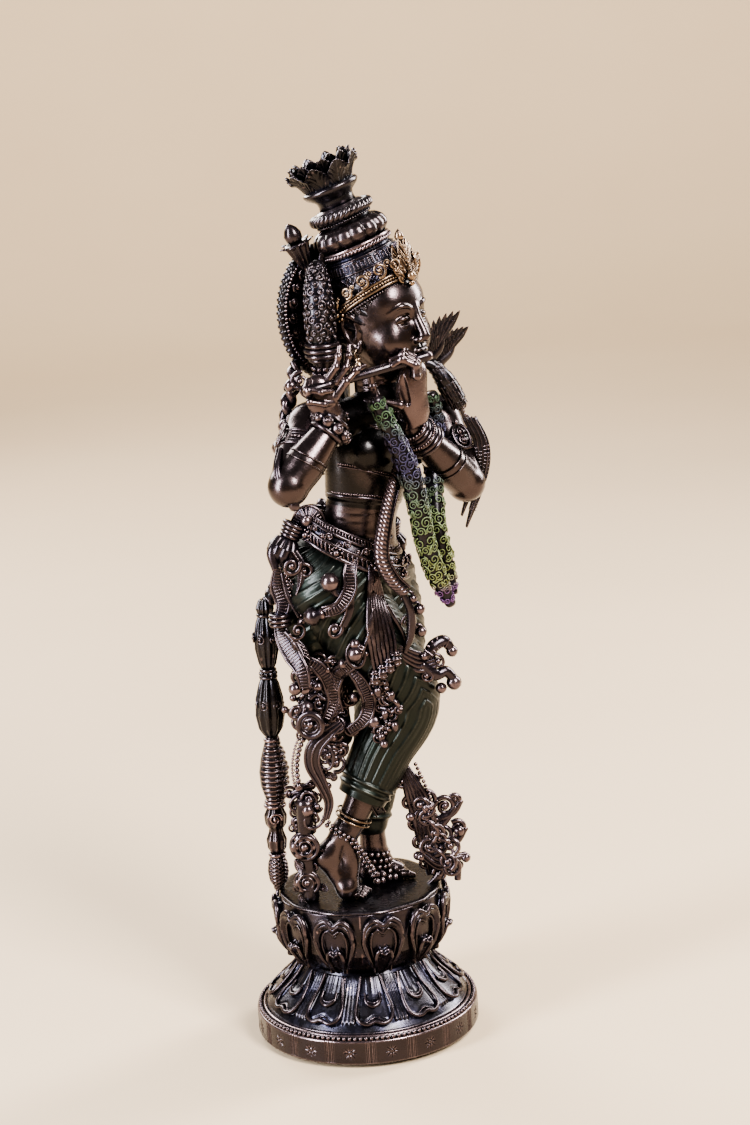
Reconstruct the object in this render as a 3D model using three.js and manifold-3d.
// A flute-playing deity statue on a round double-lotus pedestal.
// Millimetres, +Z up. The origin is the centre of the underside of the felt pad, where the statue stands.
// The figure faces -Y. Its right hand is on the -X side and its left hand on the +X side.
import * as THREE from "three";
import { mergeVertices } from "three/addons/utils/BufferGeometryUtils.js";
import Module from "manifold-3d";

const wasm = await Module();
wasm.setup();

// ---- Driving dimensions ----
const GAP = 0.3; // clearance between neighbouring castings
const SIDES = 8; // facets around a limb
const BASE_RADIUS = 38;
const PAD_TOP = 1;
const BAND_TOP = 9.85; // top of the engraved band
const WAIST_HEIGHT = 27; // where the two lotuses meet
const WAIST_RADIUS = 20.5;
const CUP_RADIUS = 29.6;
const FLOOR = 51; // the platform that the figure stands on
const PETALS = 11;
const CROWN_BASE = [11.6, -11.6, 256.5];
const CROWN_AXIS = [-0.24, 0.24, 0.941]; // the tall crown leans back

// Points of the figure that several castings share.
const HIP = { right: [-5, -3, 157], left: [14, -2, 156] };
const KNEE = { right: [10, -15.5, 115.5], left: [14, -5, 116] };
const HEM = { right: [-7.9, -6.2, 77.5], left: [6.2, -1.2, 72] };
const SHOULDER = { right: [-16.5, -8, 213.5], left: [37.5, -13.5, 207.5] };
const ELBOW = { right: [-34.5, -14.5, 197.5], left: [36.8, -25.5, 186.5] };
const WRIST = { right: [-16.9, -20.2, 216.4], left: [11.8, -25.8, 209.4] };
const HEAD = [11.6, -14.2, 243.2];
const LIPS = [15.5, -32.6, 233];
const FLUTE_END = [-27.2, -18.2, 227];

const BRONZE = 0x4a3832;
const WORN = 0x8a6a5e;
const DARK = 0x232025;
const GREEN = 0x2c3a30;
const ROSE = 0x4d5a34;
const STEEL = 0x9a9a9a;
const FELT = 0x1d1b1a;

// ---- Solids ----
// Each shape below is a function of "grow", so that a neighbour can be cut back by a slightly larger copy.

const vec = (p) => new THREE.Vector3(...p);

function toSolid(geometry) {
  const plain = geometry.clone();
  plain.deleteAttribute("normal");
  plain.deleteAttribute("uv");
  const merged = mergeVertices(plain, 1e-4);
  const vertProperties = new Float32Array(merged.attributes.position.array);
  const triVerts = new Uint32Array(merged.index.array);
  const mesh = new wasm.Mesh({ numProp: 3, vertProperties, triVerts });
  return new wasm.Manifold(mesh);
}

// Turns +Z to the axis and moves the shape to the centre.
function stand(geometry, centre, axis) {
  const turn = new THREE.Quaternion().setFromUnitVectors(new THREE.Vector3(0, 0, 1), vec(axis).normalize());
  geometry.applyQuaternion(turn);
  geometry.translate(...centre);
  return toSolid(geometry);
}

// A tapering limb with round ends: the rows of a sphere carried along a curve through the points.
// A girth is one radius, or a pair: along "wide" and across it.
function limb(points, girths, { wide = [1, 0, 0], sides = SIDES, rows = 2 * points.length + 2 } = {}) {
  const path = new THREE.CatmullRomCurve3(points.map(vec));
  const cap = 1.6 / rows;
  const girthAt = (t, axis) => {
    const place = t * (girths.length - 1);
    const low = Math.min(Math.floor(place), girths.length - 2);
    const pick = (g) => (Array.isArray(g) ? g[axis] : g);
    return THREE.MathUtils.lerp(pick(girths[low]), pick(girths[low + 1]), place - low);
  };
  return (grow) => {
    const shape = new THREE.SphereGeometry(1, sides, rows);
    const position = shape.attributes.position;
    for (let i = 0; i < position.count; i++) {
      const along = Math.acos(THREE.MathUtils.clamp(position.getY(i), -1, 1)) / Math.PI;
      const angle = Math.atan2(position.getZ(i), position.getX(i));
      const t = THREE.MathUtils.clamp((along - cap) / (1 - 2 * cap), 0, 1);
      const beyond = Math.max(cap - along, along - 1 + cap, 0) / cap;
      const tangent = path.getTangent(t);
      const across = vec(wide).addScaledVector(tangent, -vec(wide).dot(tangent)).normalize();
      const third = new THREE.Vector3().crossVectors(tangent, across);
      const fade = Math.cos((beyond * Math.PI) / 2);
      const a = girthAt(t, 0) + grow;
      const b = girthAt(t, 1) + grow;
      const push = Math.sin((beyond * Math.PI) / 2) * Math.min(a, b) * (along < 0.5 ? -1 : 1);
      const centre = path.getPoint(t).addScaledVector(tangent, push);
      centre.addScaledVector(across, Math.cos(angle) * a * fade);
      centre.addScaledVector(third, Math.sin(angle) * b * fade);
      position.setXYZ(i, ...centre);
    }
    return toSolid(shape);
  };
}

// A turned shape from (radius, height) pairs that start and end on the axis. Lobes scallop its outline.
function turned(profile, { centre = [0, 0, 0], axis = [0, 0, 1], sides = 24, lobes = 0, depth = 0 } = {}) {
  const middle = (profile[0][1] + profile.at(-1)[1]) / 2;
  const height = profile.at(-1)[1] - profile[0][1];
  return (grow) => {
    const stretch = 1 + (2 * grow) / height;
    const outline = profile.map(([r, z]) => new THREE.Vector2(r && r + grow, middle + (z - middle) * stretch));
    const shape = new THREE.LatheGeometry(outline, sides);
    const position = shape.attributes.position;
    for (let i = 0; i < position.count; i++) {
      const angle = Math.atan2(position.getZ(i), position.getX(i));
      const scallop = 1 + depth * Math.cos(lobes * angle);
      position.setX(i, position.getX(i) * scallop);
      position.setZ(i, position.getZ(i) * scallop);
    }
    shape.rotateX(Math.PI / 2);
    return stand(shape, centre, axis);
  };
}

// An oval ring of round or flattened section: belt, bracelet, band.
function ring(centre, axis, [across, through], tube, { rise = 1, sides = 5, steps = 14 } = {}) {
  return (grow) => {
    const mean = (across + through) / 2;
    const shape = new THREE.TorusGeometry(mean, tube + grow, sides, steps);
    shape.scale(across / mean, through / mean, rise);
    return stand(shape, centre, axis);
  };
}

function ball(centre, radii, { sides = 8, rows = 6 } = {}) {
  return (grow) => {
    const shape = new THREE.SphereGeometry(1, sides, rows);
    shape.scale(...radii.map((r) => r + grow));
    shape.translate(...centre);
    return toSolid(shape);
  };
}

const along = (from, to, t) => from.map((value, i) => THREE.MathUtils.lerp(value, to[i], t));
const shift = (point, by) => point.map((value, i) => value + by[i]);
const onCrown = (height) => shift(CROWN_BASE, CROWN_AXIS.map((value) => value * height));
const joined = (...shapes) => (grow) => shapes.map((shape) => shape(grow)).reduce((all, one) => all.add(one));

// ---- The castings ----
// One entry per piece. Each piece gives way, with the gap, to the entries of the pieces above it.

const pieces = [];
const piece = (name, colour, shape) => pieces.push({ name, colour, shape });

function pedestal() {
  piece("felt_pad", FELT, turned([[0, 0], [35, 0], [35, PAD_TOP], [0, PAD_TOP]]));
  piece("pour_hole_plug", DARK, turned([[0, 1.4], [6, 1.4], [6, 5.4], [0, 5.4]], { sides: 16 }));
  const band = [[0, 1.3], [BASE_RADIUS - 0.5, 1.3], [BASE_RADIUS, 2], [BASE_RADIUS, BAND_TOP - 0.5]];
  const beadRow = [[BASE_RADIUS - 0.3, BAND_TOP + 0.6], [36.2, BAND_TOP + 1.2], [35.8, BAND_TOP + 0.2]];
  piece("base_plinth", BRONZE, turned([...band, ...beadRow, [0, BAND_TOP + 0.2]], { sides: 40 }));
  const fallen = [[0, 10.4], [34.5, 10.4], [35, 11.4], [34, 13.5], [29, 18], [23.5, 23]];
  const fallenTop = [[WAIST_RADIUS, WAIST_HEIGHT - 0.2], [0, WAIST_HEIGHT - 0.2]];
  const scallops = { sides: 4 * PETALS, lobes: PETALS, depth: 0.02 };
  piece("lower_lotus", DARK, turned([...fallen, ...fallenTop], scallops));
  const cup = [[0, WAIST_HEIGHT + 0.2], [WAIST_RADIUS, WAIST_HEIGHT + 0.2], [26, 32], [29, 38]];
  const cupTop = [[CUP_RADIUS, 45], [CUP_RADIUS - 0.6, 49.3], [0, 49.3]];
  piece("upper_lotus", BRONZE, turned([...cup, ...cupTop], scallops));
  piece("lotus_platform", DARK, turned([[0, 49.6], [28, 49.6], [28.6, 50.4], [28, FLOOR], [0, FLOOR]], { sides: 32 }));
}

function pins() {
  const leg = { right: [-10.8, -5.6], left: [6.5, -1.4] };
  for (const side of ["right", "left"]) {
    const [x, y] = leg[side];
    piece(`${side}_leg_pin`, STEEL, turned([[0, 42], [1.2, 42], [1.2, 62], [0, 62]], { centre: [x, y, 0], sides: 10 }));
  }
}

function head() {
  const skull = ball(shift(HEAD, [0, 1.4, 3.8]), [13.8, 16.2, 17.2], { sides: 16, rows: 11 });
  const face = ball(shift(HEAD, [0, -4.2, -2.8]), [11.6, 11.2, 14.6], { sides: 14, rows: 10 });
  const jaw = ball(shift(HEAD, [0, -5.6, -9.2]), [8.6, 8.6, 7.6], { sides: 10, rows: 7 });
  const nose = ball(shift(HEAD, [1, -15.6, -4]), [1.8, 2.8, 3.2], { sides: 8, rows: 6 });
  const throat = limb([[12, -11, 214], [12, -12, 232]], [6.6, 6.4], { sides: 10, rows: 5 });
  piece("head", BRONZE, joined(skull, face, jaw, nose, throat));
}

function crown() {
  const part = (profile, height, options = {}) =>
    turned(profile, { centre: onCrown(height), axis: CROWN_AXIS, ...options });
  const collar = [[0, 0], [5.6, 0], [6.6, 1.2], [5.4, 2.6]];
  const petals = [[6.2, 5.6], [9, 9], [12.6, 14.1], [10.5, 14.1], [7, 7.6], [0, 6.6]];
  piece("crown_petal_cup", BRONZE, part([...collar, ...petals], 27.6, { lobes: 9, depth: 0.05, sides: 27 }));
  piece("crown_twist_ring", WORN, part([[0, 0], [8.5, 0], [10.4, 2], [8.6, 4.2], [6, 5.3], [0, 5.3]], 21.9));
  piece("crown_bulge", BRONZE, part([[0, 0], [9, 0], [12.1, 2.6], [12, 5], [9, 7.6], [0, 7.6]], 13.9,
    { lobes: 14, depth: 0.02, sides: 42 }));
  piece("diadem_leaf", WORN, limb([[13, -29.4, 257.5], [12.8, -30, 264], [11.8, -28, 273.5]], [[5, 2], [6, 1.8], [1.5, 1]],
    { wide: [1, 0.1, 0], sides: 8 }));
  piece("diadem", WORN, ring(shift(HEAD, [0, 1.4, 6.9]), [-0.1, 0.47, 0.88], [14.6, 17.8], 1.9,
    { rise: 1.7, steps: 20 }));
  piece("crown_lattice_cap", DARK, part([[0, -5], [13, -5], [14.2, 0], [12.6, 6], [11, 9], [10.6, 13.5], [0, 13.5]], 0));
}

function hairAndHalo() {
  const budLine = [[-6, -0.6, 261], [-7.6, 0.3, 266], [-9, 1.2, 272], [-10.5, 2, 277.5]];
  piece("halo_bud", WORN, limb(budLine, [3.4, 2, 3.2, 0.8], { sides: 8 }));
  const tassel = limb([[-6, -5.2, 263], [-9.6, -8.4, 255], [-10.4, -9.6, 244], [-10.2, -9.4, 229]], [3, 5, 5, 4.2]);
  const tasselCollar = ring([-10.2, -9.4, 236.5], [-0.05, -0.05, 1], [5, 5], 1.2, { steps: 14 });
  piece("hair_tassel", BRONZE, joined(tassel, tasselCollar));
  piece("right_earring", WORN, limb([[-3.6, -15.5, 238], [-3.8, -15.8, 232]], [1.8, 2.4], { sides: 8 }));
  piece("left_earring", WORN, limb([[26.6, -14.5, 238.5], [27, -14.6, 232.5]], [1.8, 2.4], { sides: 8 }));
  piece("halo_disc", DARK, turned([[0, 0], [20, 0], [22.6, 1.6], [20, 3.4], [0, 3.4]],
    { centre: [5.4, 4.5, 247], axis: [0, -1, 0.05], sides: 32 }));
  piece("back_hair", DARK, limb([[8, -1, 262], [6, 2, 246], [7, 6, 228], [8, 6, 212], [5, 7, 196]],
    [[9, 7], [11, 8.5], [9, 6], [8, 4.5], [4, 3]]));
}

function garlands() {
  const near = [[-3.4, -25.2, 220.5], [0.4, -27.4, 210], [4.6, -29.6, 198], [6.6, -31, 186], [8.6, -31.8, 173], [11.6, -32.6, 162],
    [16.4, -34, 151]];
  const far = [[27.6, -20.5, 217], [29.6, -20.4, 208], [24.6, -22.6, 197], [20, -26.4, 186], [17.6, -29.2, 174], [18.6, -31, 164],
    [18.6, -33.6, 154]];
  piece("garland_near_strand", ROSE, limb(near, [2.8, 3.2, 3.6, 3.7, 3.6, 3.4, 2]));
  piece("garland_far_strand", ROSE, limb(far, [2.4, 2.8, 3.1, 3.2, 3.2, 3, 1.8]));
  const rope = [[5.5, -24, 193], [-2, -24.5, 178], [-4, -25, 168], [1.5, -27, 157.5]];
  piece("rope_garland", WORN, limb(rope, [2, 2.4, 2.4, 2.4], { sides: 8 }));
}

function flute() {
  const middle = along(LIPS, FLUTE_END, 0.5);
  const tube = limb([shift(LIPS, [1, -1.5, 0]), middle, FLUTE_END], [1.6, 1.6, 1.6], { rows: 6 });
  piece("flute", WORN, joined(tube, ball(shift(FLUTE_END, [-2, 0.5, 0]), [2.9, 2.9, 2.9])));
}

function hands() {
  const finger = (a, b, c, girth = 1.3) => limb([a, b, c], [girth, girth, girth * 0.7], { sides: 5, rows: 5 });
  const rightPalm = limb([WRIST.right, [-19.4, -18.8, 221], [-21.6, -17.9, 227.6]], [[3.4, 2.8], [4.8, 2.8], [4.4, 2.2]],
    { wide: [0.8, -0.6, 0] });
  const rightFingers = [
    finger([-20, -20.2, 229.4], [-17.2, -22.4, 235], [-15.5, -22.2, 239.6]),
    finger([-17.8, -21.8, 228.6], [-13.6, -23.6, 234.6], [-11.6, -22.9, 239.4]),
    finger([-24.4, -16.6, 229.6], [-26.6, -19, 227], [-21.4, -22.7, 226.4]),
    finger([-24.6, -16.2, 226], [-26, -18.8, 223], [-20.4, -21.9, 222.4]),
  ];
  const rightThumb = finger([-18.4, -21.8, 224], [-13.6, -24.6, 230.4], [-7.8, -25, 232.4], 1.4);
  piece("right_hand", WORN, joined(rightPalm, ...rightFingers, rightThumb));
  const leftPalm = limb([WRIST.left, [11.8, -28, 214], [9.9, -28.3, 221], [10.4, -29.3, 228]],
    [[3.4, 3], [4.9, 2.8], [5.6, 2.8], [4.8, 2.4]], { wide: [0.9, -0.3, 0] });
  const leftFingers = [0, 1, 2, 3].map((i) => {
    const root = [12.6 - 2 * i, -29.3 - 1.6 * i, 227.5];
    return finger(root, shift(root, [0.1, -0.4, 6.4 - 0.7 * i]), shift(root, [-6.2, 5.2, 8 - 1.2 * i]), 1.4);
  });
  const leftThumb = finger([4.7, -27.9, 218], [0.2, -23, 221], [-2.1, -22.2, 229.4], 1.5);
  piece("left_hand", WORN, joined(leftPalm, ...leftFingers, leftThumb));
}

function arms() {
  const girths = { right: [6.2, 6.6, 5.6], left: [6.4, 6.8, 5.8] };
  for (const side of ["right", "left"]) {
    const axis = vec(WRIST[side]).sub(vec(ELBOW[side])).toArray();
    const upAxis = vec(SHOULDER[side]).sub(vec(ELBOW[side])).toArray();
    piece(`${side}_bracelet`, WORN, ring(along(WRIST[side], ELBOW[side], 0.12), axis, [4.9, 4.9], 1.7, { steps: 14 }));
    const armlet = ring(along(SHOULDER[side], ELBOW[side], 0.42), upAxis, [6.8, 6.8], 1.3, { steps: 14 });
    piece(`${side}_forearm`, BRONZE, limb([along(ELBOW[side], WRIST[side], 0.08), WRIST[side]], [6.4, 3.7],
      { sides: 10, rows: 6 }));
    const upperArm = limb([SHOULDER[side], ELBOW[side]], girths[side], { sides: 10, rows: 6 });
    piece(`${side}_upper_arm`, BRONZE, joined(upperArm, armlet));
  }
}

function bird() {
  const birdHead = limb([[30.5, -20.6, 226], [28, -18.6, 227.6], [24.6, -17, 227]], [2.6, 2, 0.6], { sides: 8 });
  piece("bird_near_wing", BRONZE, limb([[30.4, -20, 230], [34.6, -25, 234.6], [38, -28.4, 238.4]],
    [[3, 1.2], [5, 1.2], [3, 0.9]], { wide: [0.5, -0.5, -0.7], sides: 8 }));
  piece("bird_far_wing", BRONZE, limb([[36.4, -18, 228], [39.6, -20, 231.6], [42.4, -22.4, 235]], [[3, 1.2], [4.5, 1.2], [3, 0.9]],
    { wide: [0.5, -0.5, -0.7], sides: 8 }));
  const back = limb([[29.5, -19.8, 226.8], [32.8, -22.3, 221.5], [36.5, -24.3, 214], [39, -25.8, 208]], [2.4, 3.9, 3.9, 2.6]);
  piece("bird_body", BRONZE, joined(back, birdHead));
  piece("bird_tail", DARK, limb([[40, -26.3, 206.6], [42.4, -28, 198], [41.6, -27.4, 187], [38, -24, 173]],
    [[2.6, 1.5], [3.6, 1.5], [3.8, 1.6], [2, 1.2]], { wide: [0.7, -0.7, 0] }));
}

function torso() {
  piece("shoulder_scrolls", WORN, limb([[-19.8, -2.8, 226.5], [-17, -1.5, 220], [-21, 0.7, 213], [-22.5, 2.2, 204]],
    [2.6, 3, 3, 2.4]));
  piece("necklace", WORN, ring([11.6, -12, 214.5], [0.1, -0.42, 0.9], [11, 9.5], 1.4, { steps: 14 }));
  const hem = ring([6.6, -7, 184.5], [-0.25, -0.15, 0.95], [13.6, 11], 0.9, { sides: 4, steps: 16 });
  const trunk = limb([[4.6, -6, 178], [7.2, -7.5, 187], [10.5, -9.5, 200], [11.4, -10, 209.5]],
    [[12.2, 10], [13.6, 11], [19.5, 12.4], [23, 9]], { wide: [1, -0.12, 0], sides: 12, rows: 9 });
  piece("torso", DARK, joined(trunk, hem));
}

function hips() {
  piece("belt", WORN, ring([2.8, -4.6, 171], [0.32, -0.35, 0.88], [20, 16.4], 2.6, { rise: 1.5, steps: 20 }));
  piece("right_hip_knot", WORN, limb([[-18.5, 4, 178], [-21.5, 5.5, 172.5], [-19, 5, 166]], [3.6, 5, 3.4]));
  piece("left_hip_knot", WORN, limb([[24, -2, 172], [26, -1.6, 166.5], [24, -2.4, 160]], [3.4, 4.8, 3.2]));
  piece("front_pleats", DARK, limb([[0.5, -20.6, 163], [0.5, -22.5, 150], [-1, -23, 132], [-1.5, -22.5, 112]],
    [[4.2, 2.2], [5.4, 2.4], [6, 2.4], [4.4, 2.6]], { wide: [0.8, -0.6, 0] }));
  piece("hips", GREEN, ball([3.2, -4.4, 161.5], [21.5, 17.2, 13.5], { sides: 12, rows: 8 }));
}

function legs() {
  const anklet = (centre, axis) => ring(centre, axis, [4.6, 4.6], 1, { steps: 12 });
  const rightFoot = limb([[-11, -4.6, 74], [-11.4, -4.2, 66], [-10.4, -6.6, 57.4], [-5, -12, 53.6]],
    [4, [4.2, 5.6], [4, 4], 2], { wide: [0.7, 0.7, 0] });
  piece("right_foot", BRONZE, joined(rightFoot, anklet([-11, -4.6, 71.8], [0.2, 0.1, 1])));
  const leftFoot = limb([[6.1, -1.4, 66], [6.8, -1.6, 57.4], [12.5, -8.3, 53.8]], [4.2, [4, 5], 2.3]);
  piece("left_foot", BRONZE, joined(leftFoot, anklet([6.3, -1.5, 63.5], [0.1, -0.1, 1])));
  piece("right_shin", GREEN, limb([KNEE.right, along(KNEE.right, HEM.right, 0.5), HEM.right], [11.4, 9.6, 6.4],
    { sides: 10 }));
  const thigh = limb([HIP.right, along(HIP.right, KNEE.right, 0.5), KNEE.right], [14.5, 14.4, 12.2], { sides: 10 });
  const hanging = limb([[-5.7, 2.8, 163], [-8.1, 3.9, 148], [-9.5, 3.9, 134], [-8.1, 1.8, 120], [-6, -1.1, 106]],
    [12, 10.2, 8.6, 7.2, 4.6], { sides: 10 });
  piece("right_thigh", GREEN, joined(thigh, hanging));
  piece("left_shin", GREEN, limb([KNEE.left, HEM.left], [9.5, 5.4], { sides: 10, rows: 6 }));
  piece("left_thigh", GREEN, limb([HIP.left, along(HIP.left, KNEE.left, 0.5), KNEE.left], [14.5, 13, 10],
    { sides: 10 }));
}

function sashes() {
  const rightUpper = [[-21.5, 7, 160], [-23, 5.5, 148], [-24, 1, 136], [-22.5, -3, 125]];
  piece("right_sash_upper", BRONZE, limb(rightUpper, [3.4, 4.6, 5.4, 4.4]));
  const rightLower = limb([[-22, -5, 119], [-21.5, -3, 107], [-21, -1, 95], [-20, 0, 82]], [5, 5.6, 4.6, 5]);
  const roses = [ball([-21, 1.5, 71], [5.4, 5.4, 7]), ball([-20.5, 1.8, 58.6], [4.8, 4.8, 7])];
  piece("right_sash_lower", BRONZE, joined(rightLower, ...roses));
  const loop = [[-11.5, -12.5, 126], [-14, -13, 117], [-14, -10, 108]];
  piece("right_scarf_loop", BRONZE, limb(loop, [4, 5.4, 3.6]));
  const scroll = [[13.5, -26, 137], [19, -26.5, 130.5], [22.5, -27.5, 123]];
  piece("left_scarf_scroll", BRONZE, limb(scroll, [3, 4.4, 4.2]));
  const leftSash = [[27.5, -3, 155], [28.5, 0, 142], [28, 2, 128], [25, 3, 112], [24, 3, 98], [22.5, 2, 84]];
  piece("left_sash", BRONZE, limb(leftSash, [3.2, 4.4, 5, 4, 5, 4.4]));
  const fall = limb([[12, -12, 90.5], [15.5, -16, 78], [18, -19, 64.5], [18.5, -19.5, 54.6]], [3.6, 5.6, 6.2, 3]);
  const tip = limb([[21, -20, 70], [26, -23.5, 63], [27, -24.5, 56]], [3.4, 3.6, 2.6]);
  piece("left_lower_scarf", BRONZE, joined(fall, tip));
}

function braid() {
  const spot = (z) => [-17.8 - (150 - z) * 0.015, 18.2 + (150 - z) * 0.015, z];
  const bead = (top, bottom, girth) =>
    limb([spot(top - girth * 0.6), spot(bottom + girth * 0.6)], [girth * 0.75, girth, girth * 0.75], { sides: 8, rows: 6 });
  const upper = [limb([[-4, 12.5, 168], [-12, 15.5, 160], [-17, 17.5, 148]], [3.4, 3, 2.8]),
    bead(149, 128.5, 3.6), bead(129.5, 105.8, 4.4)];
  piece("braid_upper", DARK, joined(...upper));
  const lower = [bead(105.4, 81, 4.6), bead(82, 63, 3.8), bead(64, 51.4, 3.2)];
  piece("braid_lower", BRONZE, joined(...lower));
}

pins();
pedestal();
flute();
hands();
head();
crown();
garlands();
arms();
bird();
hairAndHalo();
torso();
hips();
legs();
sashes();
braid();

// ---- Assembly ----

function touches(a, b) {
  const one = a.boundingBox();
  const two = b.boundingBox();
  return [0, 1, 2].every((i) => one.min[i] < two.max[i] && two.min[i] < one.max[i]);
}

// What is left of a casting after the ones before it are cut out. Slivers cut loose are dropped.
function cutBack(shape, before) {
  let solid = shape(0);
  for (const other of before) {
    if (touches(solid, other)) solid = solid.subtract(other);
  }
  const bodies = solid.decompose();
  return bodies.reduce((largest, body) => (body.volume() > largest.volume() ? body : largest));
}

function toMesh(solid, name, colour) {
  const { vertProperties, triVerts } = solid.getMesh();
  const geometry = new THREE.BufferGeometry();
  geometry.setAttribute("position", new THREE.BufferAttribute(new Float32Array(vertProperties), 3));
  geometry.setIndex(new THREE.BufferAttribute(new Uint32Array(triVerts), 1));
  geometry.computeBoundingBox();
  const centre = geometry.boundingBox.getCenter(new THREE.Vector3()).round();
  geometry.translate(-centre.x, -centre.y, -centre.z);
  geometry.computeVertexNormals();
  const metalness = colour === FELT ? 0 : 0.85;
  const roughness = colour === FELT ? 0.95 : 0.42;
  const mesh = new THREE.Mesh(geometry, new THREE.MeshStandardMaterial({ color: colour, roughness, metalness }));
  mesh.name = name;
  mesh.position.copy(centre);
  return mesh;
}

const statue = new THREE.Group();
const kept = [];
for (const { name, colour, shape } of pieces) {
  statue.add(toMesh(cutBack(shape, kept), name, colour));
  kept.push(shape(GAP));
}

export default statue;
